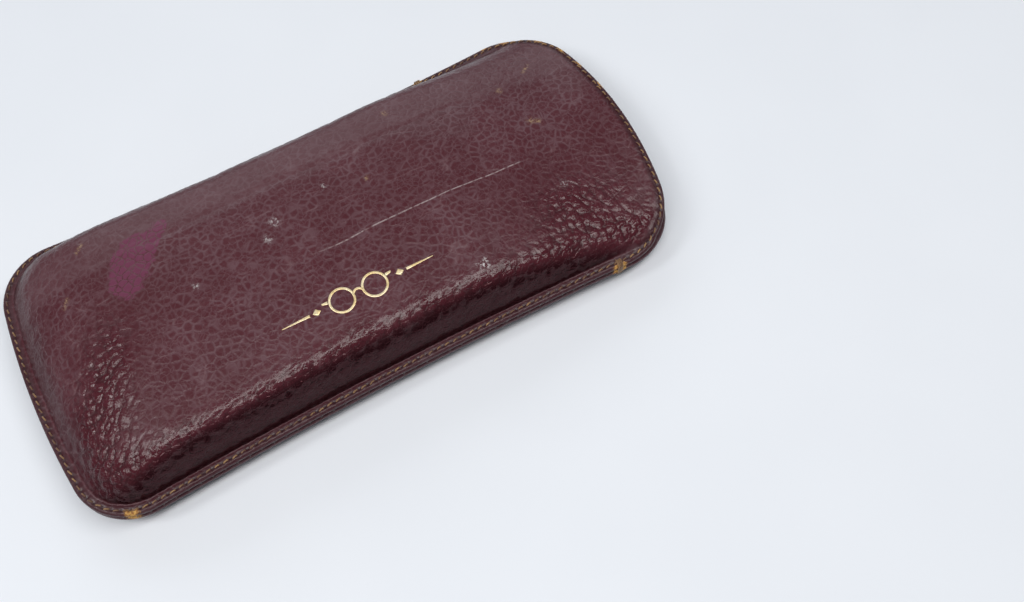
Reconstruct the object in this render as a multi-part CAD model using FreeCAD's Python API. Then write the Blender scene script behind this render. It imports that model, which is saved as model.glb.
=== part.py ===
import FreeCAD, Part
import math
import os

# Slip-in spectacles case. Two moulded halves, each a board stiffener between leather and
# lining, meet lip to lip and are sewn together along the closed end and both long sides.
# The +X end is the open mouth. Z = 0 is the surface the flat back lies on. Sizes in mm.

Vector = FreeCAD.Vector

# Outline, seen from the front
LENGTH = 168.0
HALF_WAIST = 37.8
SIDE_RADIUS = 1250.0
CLOSED_END_RADIUS = 225.0
MOUTH_END_RADIUS = 140.0
CLOSED_CORNER = 15.0
MOUTH_CORNER = 18.0
FRONT_SET_BACK = 0.8

# Seam and sewn flange
SEAM_Z = 7.15
HALF_GAP = 0.15
FLANGE_WIDTH = 2.7
FLANGE_THICKNESS = 2.0
TURNED_EDGE = 3.2
LIP_ROUND = 0.9

# Layers, from the outside in
LEATHER = 1.2
BOARD = 1.0
LINING = 0.6
GLUE = 0.1
FACING_DEPTH = 12.0
FACING_RECESS = 1.0

# How the moulded shape opens out towards the mouth
CROWN_RUN = 50.0
MOUTH_BLEND_START = 20.0

# Moulded panels: side rise, extra crown in the middle, shoulder width and sharpness, share
# of the rise already reached at the closed end (the rest comes along RAMP_LENGTH), height
# of the arch at the mouth, and the height at which the panel is pressed flat
RAMP_LENGTH = 28.0
FRONT = {
    "rise": 10.0,
    "crown": 3.0,
    "shoulder": 9.0,
    "power": 3.5,
    "foot": 0.15,
    "arch": 5.5,
    "flat": 30.0,
}
BACK = {
    "rise": 5.15,
    "crown": 0.0,
    "shoulder": 10.0,
    "power": 3,
    "foot": 1.0,
    "arch": 3.0,
    "flat": SEAM_Z,
}

# Surface patches that the panels are cut from
PATCH_STEP = 2.8
PATCH_MARGIN = 6.0
PATCH_DEPTH = 60.0
SLOPE_STEP = 0.05

# Thread
STITCH_INSET = 1.25
STITCH_PITCH = 2.3
STITCH_LENGTH = 1.5
STITCH_WIDTH = 0.5
STITCH_HEIGHT = 0.35
STITCH_SLANT = 16.0
STITCH_LIFT = 0.03
LADDER_PITCH = 3.2
LADDER_INSET = 0.26
LADDER_SIZE = (0.5, 0.22, 0.56)
TACK_STRANDS = 3
TACK_STRAND_WIDTH = 0.55
TACK_STRAND_PITCH = 0.62
TACK_THREAD = 0.35
TACK_REACH = 1.9
TACK_CLEARANCE = 0.05
TACK_ROUND = 0.3
NEAR_SEAM_END = 60.0
FAR_SEAM_END = 41.0

# Foil ornament on the front: a plain pair of round spectacles between two rules
EMBLEM_CENTRE = (-2.7, -19.1)
EMBLEM_LENS = 3.4
EMBLEM_LENS_GAP = 2.0
EMBLEM_LINE = 0.7
EMBLEM_RULE = 9.0
EMBLEM_LOZENGE = 1.1
FOIL_LIFT = 0.03
FOIL_THICKNESS = 0.12

CLOSED_X = -LENGTH / 2
MOUTH_X = LENGTH / 2
SIDE_CENTRE_Y = HALF_WAIST + SIDE_RADIUS
FLANGE_TOP = HALF_GAP + FLANGE_THICKNESS
UP = Vector(0, 0, 1)


def corner_centre(end_x, end_radius, corner, direction):
    """Centre of the arc that joins the +Y side to an end; direction is +1 at the mouth."""
    side = Vector(0, SIDE_CENTRE_Y, 0)
    span = Vector(end_x - direction * end_radius, 0, 0) - side
    side_reach = SIDE_RADIUS + corner
    end_reach = end_radius - corner
    along = (span.Length ** 2 + side_reach ** 2 - end_reach ** 2) / (2 * span.Length)
    offset = math.sqrt(side_reach ** 2 - along ** 2)
    axis = span / span.Length
    return side + axis * along + Vector(-axis.y, axis.x, 0) * (direction * offset)


CLOSED_CORNER_CENTRE = corner_centre(CLOSED_X, CLOSED_END_RADIUS, CLOSED_CORNER, -1)


def end_points(end_x, end_radius, corner, direction, inset):
    """Points on the +Y half of one end: side tangent, corner middle, end tangent, tip."""
    centre = corner_centre(end_x, end_radius, corner, direction)
    side_centre = Vector(0, SIDE_CENTRE_Y, 0)
    end_centre = Vector(end_x - direction * end_radius, 0, 0)
    to_side = (side_centre - centre).normalize()
    to_end = (centre - end_centre).normalize()
    middle = (to_side + to_end).normalize()
    radius = corner - inset
    tip = Vector(end_x - direction * inset, 0, 0)
    return [centre + to_side * radius, centre + middle * radius, centre + to_end * radius, tip]


def flip(point):
    return Vector(point.x, -point.y, point.z)


def arc(start, middle, end):
    return Part.Arc(start, middle, end).toShape()


def outline(inset=0.0, set_back=0.0):
    """Closed outline of the case, moved inwards by inset; set_back shortens the mouth."""
    mouth = end_points(MOUTH_X - set_back, MOUTH_END_RADIUS, MOUTH_CORNER, 1, inset)
    closed = end_points(CLOSED_X, CLOSED_END_RADIUS, CLOSED_CORNER, -1, inset)
    waist = Vector(0, HALF_WAIST - inset, 0)
    edges = [
        arc(flip(mouth[2]), mouth[3], mouth[2]),
        arc(mouth[2], mouth[1], mouth[0]),
        arc(mouth[0], waist, closed[0]),
        arc(closed[0], closed[1], closed[2]),
        arc(closed[2], closed[3], flip(closed[2])),
        arc(flip(closed[2]), flip(closed[1]), flip(closed[0])),
        arc(flip(closed[0]), flip(waist), flip(mouth[0])),
        arc(flip(mouth[0]), flip(mouth[1]), flip(mouth[2])),
    ]
    return Part.Wire(edges)


def open_inner_outline(inset):
    """Inset outline of the three sewn sides, carried straight out through the mouth."""
    closed = end_points(CLOSED_X, CLOSED_END_RADIUS, CLOSED_CORNER, -1, inset)
    waist = Vector(0, HALF_WAIST - inset, 0)
    out_x = MOUTH_X + PATCH_MARGIN
    out_y = SIDE_CENTRE_Y - math.sqrt((SIDE_RADIUS + inset) ** 2 - out_x ** 2)
    out = Vector(out_x, out_y, 0)
    edges = [
        arc(out, waist, closed[0]),
        arc(closed[0], closed[1], closed[2]),
        arc(closed[2], closed[3], flip(closed[2])),
        arc(flip(closed[2]), flip(closed[1]), flip(closed[0])),
        arc(flip(closed[0]), flip(waist), flip(out)),
        Part.makeLine(flip(out), out),
    ]
    return Part.Wire(edges)


def prism(wire, bottom, top):
    face = Part.Face(wire)
    face.translate(Vector(0, 0, bottom))
    return face.extrude(Vector(0, 0, top - bottom))


def sewn_edge_distance(x, y):
    """Distance inwards from the nearest of the three sewn sides."""
    y = abs(y)
    end_centre_x = CLOSED_X + CLOSED_END_RADIUS
    centre = CLOSED_CORNER_CENTRE
    past_side = x / (SIDE_CENTRE_Y - y) < centre.x / (SIDE_CENTRE_Y - centre.y)
    past_end = y / (end_centre_x - x) > centre.y / (end_centre_x - centre.x)
    if past_side and past_end:
        return CLOSED_CORNER - math.hypot(x - centre.x, y - centre.y)
    side = math.hypot(x, SIDE_CENTRE_Y - y) - SIDE_RADIUS
    end = CLOSED_END_RADIUS - math.hypot(x - end_centre_x, y)
    return min(side, end)


def smooth_step(value):
    value = min(1.0, max(0.0, value))
    return value * value * (3 - 2 * value)


def shoulder_profile(reach, power):
    """Rise of the moulded side, 0 at the flange and 1 on top; straight outside the flange."""
    if reach < 0:
        return power * reach
    return 1 - (1 - min(1.0, reach)) ** power


def closed_end_ramp(x, y, panel):
    """Share of the full rise, smaller near the closed end where the front climbs gently."""
    end_x = CLOSED_X + CLOSED_END_RADIUS
    distance = CLOSED_END_RADIUS - math.hypot(x - end_x, y) - FLANGE_WIDTH
    left = 1 - min(1.0, max(0.0, distance / RAMP_LENGTH))
    return 1 - (1 - panel["foot"]) * left ** 2


def panel_height(x, y, panel):
    """Height of a panel's outer face above the seam plane."""
    reach = (sewn_edge_distance(x, y) - FLANGE_WIDTH) / panel["shoulder"]
    across = y / (HALF_WAIST + x * x / (2 * SIDE_RADIUS) - FLANGE_WIDTH)
    along = max(0.0, 1 - (x - CLOSED_X - FLANGE_WIDTH) / CROWN_RUN)
    crown = panel["crown"] * (1 - across ** 2) * (1 - along ** 2)
    side = panel["rise"] * shoulder_profile(reach, panel["power"])
    closed = side * closed_end_ramp(x, y, panel) + crown
    arch = panel["arch"] * (1 - across ** 2)
    opened = smooth_step((x - MOUTH_BLEND_START) / (MOUTH_X - MOUTH_BLEND_START))
    return FLANGE_TOP + closed + (arch - closed) * opened


def panel_normal(x, y, panel):
    rise_x = panel_height(x + SLOPE_STEP, y, panel) - panel_height(x - SLOPE_STEP, y, panel)
    rise_y = panel_height(x, y + SLOPE_STEP, panel) - panel_height(x, y - SLOPE_STEP, panel)
    return Vector(-rise_x, -rise_y, 2 * SLOPE_STEP).normalize()


def spaced(low, high):
    count = round((high - low) / PATCH_STEP)
    return [low + (high - low) * i / count for i in range(count + 1)]


def below(panel, depth):
    """Everything under the panel's surface at the given depth beneath its outer face."""
    half_width = HALF_WAIST + MOUTH_X ** 2 / (2 * SIDE_RADIUS) + PATCH_MARGIN
    rows = []
    for x in spaced(CLOSED_X - PATCH_MARGIN, MOUTH_X + PATCH_MARGIN):
        row = []
        for y in spaced(-half_width, half_width):
            point = Vector(x, y, panel_height(x, y, panel))
            row.append(point - panel_normal(x, y, panel) * depth)
        rows.append(row)
    surface = Part.BSplineSurface()
    surface.interpolate(rows)
    return surface.toShape().extrude(Vector(0, 0, -PATCH_DEPTH))


def panel_layer(panel, outer, inner, plan):
    """One even layer of a panel, between two depths, kept inside an upright plan solid."""
    return plan.common(below(panel, outer)).cut(below(panel, inner))


def region(inset, set_back, panel, shift=0.0):
    """Upright prism of an inset outline, from the seam gap to the pressed-flat height."""
    body = prism(outline(inset, set_back), HALF_GAP, panel["flat"])
    body.translate(Vector(-shift, 0, 0))
    return body


def leather_cover(panel, set_back):
    """Leather skin with its flat sewn lip; at the mouth it is turned in over the board."""
    lip = prism(outline(0, set_back), HALF_GAP, FLANGE_TOP)
    body = region(0, set_back, panel).common(below(panel, 0)).fuse(lip)
    seam_rims = [edge for edge in body.Edges if edge.BoundBox.ZMax < LIP_ROUND]
    body = body.makeFillet(LIP_ROUND, seam_rims)
    board_space = region(TURNED_EDGE, set_back, panel).common(below(panel, LEATHER))
    passage = prism(open_inner_outline(TURNED_EDGE), 0, panel["flat"])
    passage = passage.common(below(panel, LEATHER + GLUE + BOARD))
    return body.cut(board_space).cut(passage)


def stiffener(panel, set_back):
    outer = LEATHER + GLUE
    return panel_layer(panel, outer, outer + BOARD, region(TURNED_EDGE + GLUE, set_back, panel))


def lining_depths():
    outer = LEATHER + BOARD + 2 * GLUE
    return outer, outer + LINING


def lining(panel, set_back):
    outer, inner = lining_depths()
    reach = region(TURNED_EDGE + GLUE, set_back, panel, FACING_DEPTH)
    return panel_layer(panel, outer, inner, reach)


def mouth_facing(panel, set_back):
    """Leather band glued inside the mouth, ahead of the lining."""
    outer, inner = lining_depths()
    reach = region(FACING_RECESS, set_back, panel)
    reach = reach.cut(region(TURNED_EDGE + GLUE, set_back, panel, FACING_DEPTH - GLUE))
    return panel_layer(panel, outer, inner, reach)


def surface_point(x, y, panel):
    """Outer face of a half, which is the flat flange or the moulded panel above it."""
    if sewn_edge_distance(x, y) < FLANGE_WIDTH:
        return Vector(x, y, FLANGE_TOP), UP
    return Vector(x, y, panel_height(x, y, panel)), panel_normal(x, y, panel)


def stitch_bar():
    """One visible stitch: a flat thread lozenge lying along X."""
    half = STITCH_LENGTH / 2
    side = STITCH_WIDTH / 2
    taper = half - side
    corners = [(-half, 0), (-taper, -side), (taper, -side), (half, 0), (taper, side), (-taper, side)]
    points = [Vector(x, y, 0) for x, y in corners]
    return prism(Part.makePolygon(points + points[:1]), 0, STITCH_HEIGHT)


def place(shape, origin, along, up):
    across = up.cross(along).normalize()
    copy = shape.copy()
    copy.Placement = FreeCAD.Placement(origin, FreeCAD.Rotation(across.cross(up), across, up, "ZXY"))
    return copy


def edge_stitching(panel, set_back):
    """Row of slanted stitches round the whole lip, the mouth included."""
    line = outline(STITCH_INSET, set_back)
    count = round(line.Length / STITCH_PITCH)
    points = line.discretize(Number=count + 1)
    bar = stitch_bar()
    bar.rotate(Vector(0, 0, 0), UP, STITCH_SLANT)
    stitches = []
    for start, end in zip(points, points[1:]):
        middle = (start + end) / 2
        origin, up = surface_point(middle.x, middle.y, panel)
        stitches.append(place(bar, origin + up * STITCH_LIFT, end - start, up))
    return Part.makeCompound(stitches)


def mirrored(shape):
    """Turns a half built face up into the back half, face down."""
    return shape.mirror(Vector(0, 0, 0), UP)


def sewn(x, y):
    """True where the two halves are sewn together."""
    return x < (FAR_SEAM_END if y > 0 else NEAR_SEAM_END)


def ladder_thread():
    """Hidden ladder stitches that join the two lips in the groove between them."""
    line = outline(LADDER_INSET, FRONT_SET_BACK)
    length, width, height = LADDER_SIZE
    rung = Part.makeBox(length, width, height, Vector(-length / 2, -width / 2, -height / 2))
    points = line.discretize(Number=round(line.Length / LADDER_PITCH) + 1)
    rungs = []
    for start, end in zip(points, points[1:]):
        middle = (start + end) / 2
        if sewn(middle.x, middle.y):
            rungs.append(place(rung, middle, end - start, UP))
    return Part.makeCompound(rungs)


def bar_tack(x, side):
    """Thread strands wrapped round both lips at the end of the side seam."""
    edge_y = HALF_WAIST + x * x / (2 * SIDE_RADIUS)
    reach = TACK_REACH + TACK_THREAD
    inner = FLANGE_TOP + TACK_CLEARANCE
    outer = inner + TACK_THREAD
    wide = Part.makeBox(TACK_STRAND_WIDTH, reach, 2 * outer, Vector(0, -TACK_REACH, -outer))
    corners = [edge for edge in wide.Edges if edge.BoundBox.YMin > 0 and edge.BoundBox.XLength > 0]
    wide = wide.makeFillet(TACK_ROUND, corners)
    hollow = Part.makeBox(1, reach, 2 * inner, Vector(-TACK_THREAD, -reach + TACK_CLEARANCE, -inner))
    strand = wide.cut(hollow)
    strands = []
    for i in range(TACK_STRANDS):
        copy = strand.copy()
        copy.translate(Vector(x + (i - TACK_STRANDS / 2) * TACK_STRAND_PITCH, edge_y, 0))
        strands.append(copy)
    tack = Part.makeCompound(strands)
    if side < 0:
        tack = tack.mirror(Vector(0, 0, 0), Vector(0, 1, 0))
    return tack


def strip(x, y, length, width):
    return Part.makeBox(length, width, PATCH_DEPTH, Vector(x - length / 2, y - width / 2, 0))


def emblem_plan():
    """Upright solid of the ornament: two rings, a bridge, temple stubs, rules, lozenges."""
    lens_x = EMBLEM_LENS + EMBLEM_LENS_GAP / 2
    temple_x = lens_x + EMBLEM_LENS + EMBLEM_LINE / 2
    rule_x = temple_x + EMBLEM_LINE + EMBLEM_RULE / 2 + 2 * EMBLEM_LOZENGE
    pieces = [strip(0, 0, EMBLEM_LENS_GAP + EMBLEM_LINE, EMBLEM_LINE)]
    for side in (-1, 1):
        ring = Part.makeCylinder(EMBLEM_LENS, PATCH_DEPTH, Vector(side * lens_x, 0, 0))
        hole = Part.makeCylinder(EMBLEM_LENS - EMBLEM_LINE, PATCH_DEPTH, Vector(side * lens_x, 0, 0))
        lozenge = strip(0, 0, EMBLEM_LOZENGE, EMBLEM_LOZENGE)
        lozenge.rotate(Vector(0, 0, 0), UP, 45)
        lozenge.translate(Vector(side * (rule_x - EMBLEM_RULE / 2 - EMBLEM_LOZENGE), 0, 0))
        pieces.append(ring.cut(hole))
        pieces.append(strip(side * temple_x, EMBLEM_LINE, 2 * EMBLEM_LINE, EMBLEM_LINE))
        pieces.append(lozenge)
        pieces.append(strip(side * rule_x, 0, EMBLEM_RULE - EMBLEM_LOZENGE, EMBLEM_LINE))
    plan = pieces[0].multiFuse(pieces[1:])
    plan.translate(Vector(EMBLEM_CENTRE[0], EMBLEM_CENTRE[1], 0))
    return plan


def foil_emblem():
    return panel_layer(FRONT, -FOIL_LIFT - FOIL_THICKNESS, -FOIL_LIFT, emblem_plan())


def half_parts(name, panel, set_back):
    return {
        name + "_cover": leather_cover(panel, set_back),
        name + "_stiffener": stiffener(panel, set_back),
        name + "_lining": lining(panel, set_back),
        name + "_mouth_facing": mouth_facing(panel, set_back),
        name + "_edge_stitching": edge_stitching(panel, set_back),
    }


def build():
    """All sub-parts, first about the seam plane, then lifted so the back rests on Z = 0."""
    nodes = half_parts("front", FRONT, FRONT_SET_BACK)
    for name, shape in half_parts("back", BACK, 0.0).items():
        nodes[name] = mirrored(shape)
    nodes["side_seam_thread"] = ladder_thread()
    nodes["near_bar_tack"] = bar_tack(NEAR_SEAM_END, -1)
    nodes["far_bar_tack"] = bar_tack(FAR_SEAM_END, 1)
    nodes["foil_emblem"] = foil_emblem()
    for shape in nodes.values():
        shape.translate(Vector(0, 0, SEAM_Z))
    return nodes


os.makedirs("parts", exist_ok=True)
for node, shape in build().items():
    shape.exportStep("parts/" + node + ".step")
    print(node, len(shape.Solids), shape.isValid(), round(shape.Volume, 1), shape.BoundBox)
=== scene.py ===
# Looks of the slip-in spectacles case: leather covers, linings, thread and foil ornament.
#
# Shapes are worked out in millimetres and become metres when a mesh is made. Each half is
# drawn face up about the seam plane, height counted outwards from the seam, and put in place
# by upright(), which turns the back half over.

import math

import bmesh
import bpy
import numpy as np
from mathutils import Euler, Matrix, Vector


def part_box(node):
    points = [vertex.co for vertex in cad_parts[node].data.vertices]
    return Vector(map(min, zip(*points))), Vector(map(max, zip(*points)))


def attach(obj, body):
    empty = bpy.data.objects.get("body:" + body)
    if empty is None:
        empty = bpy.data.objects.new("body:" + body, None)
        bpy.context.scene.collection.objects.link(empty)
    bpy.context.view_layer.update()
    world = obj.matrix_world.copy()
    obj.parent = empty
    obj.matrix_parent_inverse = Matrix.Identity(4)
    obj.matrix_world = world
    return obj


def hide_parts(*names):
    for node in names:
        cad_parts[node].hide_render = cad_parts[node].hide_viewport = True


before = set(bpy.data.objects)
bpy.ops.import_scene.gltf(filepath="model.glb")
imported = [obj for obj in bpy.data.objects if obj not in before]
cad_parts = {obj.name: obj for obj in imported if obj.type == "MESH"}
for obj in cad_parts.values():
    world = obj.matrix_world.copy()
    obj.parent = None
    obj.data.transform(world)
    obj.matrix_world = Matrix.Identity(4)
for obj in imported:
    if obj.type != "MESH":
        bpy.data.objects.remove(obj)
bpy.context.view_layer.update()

MM = 0.001
SEED = 20

# Outline of the case, taken from the frame where the frame has it
case_low, case_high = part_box("back_cover")
CLOSED_X = case_low.x / MM
MOUTH_X = case_high.x / MM
FRONT_SET_BACK = MOUTH_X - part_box("front_cover")[1].x / MM
HALF_WAIST = 37.8
SIDE_RADIUS = 1250.0
CLOSED_END_RADIUS = 225.0
MOUTH_END_RADIUS = 140.0
CLOSED_CORNER = 15.0
MOUTH_CORNER = 18.0
SIDE_CENTRE_Y = HALF_WAIST + SIDE_RADIUS

# Seam, sewn lip and layers
SEAM_Z = 7.15
HALF_GAP = 0.15
LIP = 2.0
FLANGE_TOP = HALF_GAP + LIP
FLANGE_WIDTH = 2.7
LEATHER = 1.2
LINING_DEPTH = 3.0

# Moulded panels, as in the frame: rise and crown of the closed body, width and squareness of
# its shoulder, share of the rise left at the closed end, arch of the mouth, and the height at
# which the panel is cut flat (the back lies on the table, the front isn't cut)
CROWN_RUN = 50.0
MOUTH_BLEND_START = 20.0
RAMP_LENGTH = 28.0
FRONT = {
    "rise": 10.0, "crown": 3.0, "shoulder": 9.0, "power": 3.5, "foot": 0.15,
    "arch": 5.5, "flat": 99.0,
}
BACK = {
    "rise": 5.15, "crown": 0.0, "shoulder": 10.0, "power": 3, "foot": 1.0,
    "arch": 3.0, "flat": 7.13,
}
HALVES = {
    "front": {"panel": FRONT, "set_back": FRONT_SET_BACK, "side": 1},
    "back": {"panel": BACK, "set_back": 0.0, "side": -1},
}

# Mesh density of the covers
RIBS = 440
SPINE_HALF = 46.0
STRAIGHT_ROWS = 9.0


# ---------------------------------------------------------------- noise

def hash01(ix, iy, iz, seed):
    """Repeatable random numbers from 0 to 1, one for each lattice point."""
    h = ix.astype(np.int64) * 374761393 + iy.astype(np.int64) * 668265263
    h = (h + iz.astype(np.int64) * 2147483647 + seed * 1274126177) & 0xFFFFFFFF
    h = ((h ^ (h >> 13)) * 1274126177) & 0xFFFFFFFF
    h = ((h ^ (h >> 16)) * 2246822519) & 0xFFFFFFFF
    h = h ^ (h >> 15)
    return (h & 0xFFFFFF) / float(0x1000000)


def smooth_noise(points, size, seed):
    """Value noise from -1 to 1 whose bumps are about size across."""
    p = points / size
    base = np.floor(p).astype(np.int64)
    f = p - base
    f = f * f * (3 - 2 * f)
    total = np.zeros(len(p))
    for dx in (0, 1):
        for dy in (0, 1):
            for dz in (0, 1):
                weight = np.where(dx, f[:, 0], 1 - f[:, 0])
                weight = weight * np.where(dy, f[:, 1], 1 - f[:, 1])
                weight = weight * np.where(dz, f[:, 2], 1 - f[:, 2])
                total += weight * hash01(base[:, 0] + dx, base[:, 1] + dy, base[:, 2] + dz, seed)
    return total * 2 - 1


def pebble_cells(points, size, seed):
    """Distances to the nearest and second nearest pebble centre, in pebble sizes."""
    p = points / size
    base = np.floor(p).astype(np.int64)
    nearest = np.full(len(p), 9.0)
    second = np.full(len(p), 9.0)
    for dx in (-1, 0, 1):
        for dy in (-1, 0, 1):
            for dz in (-1, 0, 1):
                cell = base + (dx, dy, dz)
                offset = [hash01(cell[:, 0], cell[:, 1], cell[:, 2], seed + k) for k in range(3)]
                gap = cell + np.stack(offset, 1) - p
                distance = np.sqrt((gap ** 2).sum(1))
                second = np.minimum(second, np.maximum(nearest, distance))
                nearest = np.minimum(nearest, distance)
    return nearest, second


def smooth_step(value):
    value = np.clip(value, 0.0, 1.0)
    return value * value * (3 - 2 * value)


def bump_at(x, y, centre, radius):
    """Soft round mask, 1 at the centre."""
    return np.exp(-((x - centre[0]) ** 2 + (y - centre[1]) ** 2) / (2 * radius ** 2))


def line_distance(x, y, start, end):
    """Distance from a straight mark, and how far along it from 0 to 1."""
    dx, dy = end[0] - start[0], end[1] - start[1]
    t = np.clip(((x - start[0]) * dx + (y - start[1]) * dy) / (dx * dx + dy * dy), 0, 1)
    return np.hypot(x - start[0] - t * dx, y - start[1] - t * dy), t


# ---------------------------------------------------------------- shape of the halves

def corner_centre(end_x, end_radius, corner, direction):
    """Centre of the arc that joins the +Y side to an end; direction is +1 at the mouth."""
    span_x, span_y = end_x - direction * end_radius, -SIDE_CENTRE_Y
    span = math.hypot(span_x, span_y)
    side_reach = SIDE_RADIUS + corner
    end_reach = end_radius - corner
    along = (span ** 2 + side_reach ** 2 - end_reach ** 2) / (2 * span)
    offset = direction * math.sqrt(side_reach ** 2 - along ** 2)
    ax, ay = span_x / span, span_y / span
    return ax * along - ay * offset, SIDE_CENTRE_Y + ay * along + ax * offset


CLOSED_CENTRE = corner_centre(CLOSED_X, CLOSED_END_RADIUS, CLOSED_CORNER, -1)


def half_outline(set_back, inset, count):
    """Evenly spaced points on the +Y half of the outline, closed end first, and the
    direction inwards at each."""
    mouth_x = MOUTH_X - set_back
    closed = CLOSED_CENTRE
    mouth = corner_centre(mouth_x, MOUTH_END_RADIUS, MOUTH_CORNER, 1)
    closed_end = (CLOSED_X + CLOSED_END_RADIUS, 0.0)
    mouth_end = (mouth_x - MOUTH_END_RADIUS, 0.0)
    side = (0.0, SIDE_CENTRE_Y)

    def angle(a, b):
        return math.atan2(b[1] - a[1], b[0] - a[0])

    closed_a = angle(closed_end, closed)
    closed_b = angle(closed, side)
    side_a = angle(side, closed) + 2 * math.pi
    side_b = angle(side, mouth) + 2 * math.pi
    mouth_a = angle(mouth, side)
    mouth_b = angle(mouth_end, mouth)
    arcs = [
        (closed_end, CLOSED_END_RADIUS - inset, math.pi, closed_a, 1),
        (closed, CLOSED_CORNER - inset, closed_a, closed_b, 1),
        (side, SIDE_RADIUS + inset, side_a, side_b, -1),
        (mouth, MOUTH_CORNER - inset, mouth_a, mouth_b, 1),
        (mouth_end, MOUTH_END_RADIUS - inset, mouth_b, 0.0, 1),
    ]
    lengths = [radius * abs(b - a) for _, radius, a, b, _ in arcs]
    starts = np.concatenate([[0], np.cumsum(lengths)])
    points, inwards = [], []
    for s in np.linspace(0, starts[-1], count):
        k = min(int(np.searchsorted(starts, s, side="right")) - 1, len(arcs) - 1)
        centre, radius, a, b, inner = arcs[k]
        turn = a + (b - a) * (s - starts[k]) / lengths[k]
        out = np.array([math.cos(turn), math.sin(turn)])
        points.append(np.array(centre) + radius * out)
        inwards.append(-inner * out)
    return np.array(points), np.array(inwards), starts[-1]


def sewn_edge_distance(x, y):
    """Distance inwards from the nearest of the three sewn sides."""
    y = np.abs(y)
    end_x = CLOSED_X + CLOSED_END_RADIUS
    cx, cy = CLOSED_CENTRE
    past_side = x / (SIDE_CENTRE_Y - y) < cx / (SIDE_CENTRE_Y - cy)
    past_end = y / (end_x - x) > cy / (end_x - cx)
    side = np.hypot(x, SIDE_CENTRE_Y - y) - SIDE_RADIUS
    end = CLOSED_END_RADIUS - np.hypot(x - end_x, y)
    corner = CLOSED_CORNER - np.hypot(x - cx, y - cy)
    return np.where(past_side & past_end, corner, np.minimum(side, end))


def opening(x):
    """0 in the closed body, 1 at the mouth."""
    return smooth_step((x - MOUTH_BLEND_START) / (MOUTH_X - MOUTH_BLEND_START))


def closed_end_ramp(x, y, panel):
    """Share of the full rise, smaller near the closed end where the front climbs gently."""
    distance = CLOSED_END_RADIUS - np.hypot(x - CLOSED_X - CLOSED_END_RADIUS, y) - FLANGE_WIDTH
    left = 1 - np.clip(distance / RAMP_LENGTH, 0, 1)
    return 1 - (1 - panel["foot"]) * left ** 2


def panel_height(x, y, panel):
    """Height of a moulded panel above the seam plane, before the flat lip is added."""
    reach = (sewn_edge_distance(x, y) - FLANGE_WIDTH) / panel["shoulder"]
    across = y / (HALF_WAIST + x * x / (2 * SIDE_RADIUS) - FLANGE_WIDTH)
    along = np.maximum(0.0, 1 - (x - CLOSED_X - FLANGE_WIDTH) / CROWN_RUN)
    profile = 1 - (1 - np.clip(reach, 0, 1)) ** panel["power"]
    profile = np.where(reach < 0, panel["power"] * reach, profile)
    crown = panel["crown"] * (1 - across ** 2) * (1 - along ** 2)
    closed = panel["rise"] * profile * closed_end_ramp(x, y, panel) + crown
    arch = panel["arch"] * (1 - across ** 2)
    return FLANGE_TOP + closed + (arch - closed) * opening(x)


GROOVE = 0.2
GROOVE_WIDTH = 0.55
LIP_BLEND = 0.35


def cover_height(x, y, panel):
    """Outer face of the leather: moulded panel and flat lip, with the crease between."""
    raw = panel_height(x, y, panel)
    gap = raw - FLANGE_TOP
    height = FLANGE_TOP + 0.5 * (gap + np.sqrt(gap ** 2 + LIP_BLEND ** 2)) - LIP_BLEND / 4
    crease = np.exp(-((sewn_edge_distance(x, y) - FLANGE_WIDTH) / GROOVE_WIDTH) ** 2)
    return height - GROOVE * crease * (1 - opening(x))


def surface_normal(x, y, height, panel):
    step = 0.05
    rise_x = height(x + step, y, panel) - height(x - step, y, panel)
    rise_y = height(x, y + step, panel) - height(x, y - step, panel)
    normal = np.stack([-rise_x, -rise_y, np.full_like(rise_x, 2 * step)], -1)
    return normal / np.linalg.norm(normal, axis=-1, keepdims=True)


def upright(points, side):
    """Puts half-frame points in place, in metres; side is -1 for the back half."""
    placed = np.array(points, float)
    placed[..., 2] = SEAM_Z + side * placed[..., 2]
    return placed * MM


# ---------------------------------------------------------------- marks of age on the front

# Places are x, y in mm from the middle; spots also have a radius
CREASES = [((-47.0, 19.6), (56.0, 19.0)), ((-50.0, -4.9), (54.0, -4.5))]
SCRATCHED_CREASE = ((-11.0, -4.6), (53.0, -4.6))
INK_SPOTS = [
    ((-51.3, 10.6), 3.2), ((-48.7, 14.6), 3.4), ((-45.2, 17.0), 2.6),
    ((-41.8, 19.6), 2.2), ((-38.4, 22.6), 1.8), ((-46.0, 21.4), 1.8), ((-50.5, 19.0), 1.2),
]
SCUFF_SPOTS = [
    ((-12.6, 8.6), 0.8), ((-15.8, 4.8), 0.7), ((2.6, 12.1), 0.5), ((27.3, -27.2), 0.8),
    ((-36.4, 1.5), 0.5), ((57.4, -14.8), 0.5), ((28.5, -25.9), 0.5),
]
SCUFF_LINES = [((25.9, -26.0), (28.7, -28.0))]
TAN_SPOTS = [
    ((26.0, 25.3), 0.5), ((57.0, 19.3), 0.5), ((59.5, 6.3), 0.6), ((13.0, 8.8), 0.4),
    ((61.2, 5.3), 0.5),
]
TAN_LINES = [
    ((-66.9, 14.0), (-65.3, 15.8)), ((-59.0, 26.4), (-57.2, 28.0)), ((66.4, 23.0), (68.8, 24.8)),
]
SCRATCH_WIDTH = 0.35
# Bare patches along the lip: place, length of the patch and how bare it is
BARE_LIP = [
    ((-71.8, -36.2), 1.9, 1.6), ((60.0, -38.8), 1.8, 0.9), ((41.0, 38.4), 1.6, 0.9),
    ((62.5, 39.2), 1.3, 0.8), ((68.6, 38.2), 1.5, 0.9), ((75.8, 32.0), 1.2, 0.9),
    ((79.2, 25.6), 1.0, 1.0), ((81.8, 18.4), 1.1, 0.9), ((83.2, 9.0), 1.6, 0.8),
    ((52.0, 38.8), 3.4, 0.45), ((78.0, 29.0), 5.0, 0.4), ((-30.0, 38.1), 3.0, 0.3),
]


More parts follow.
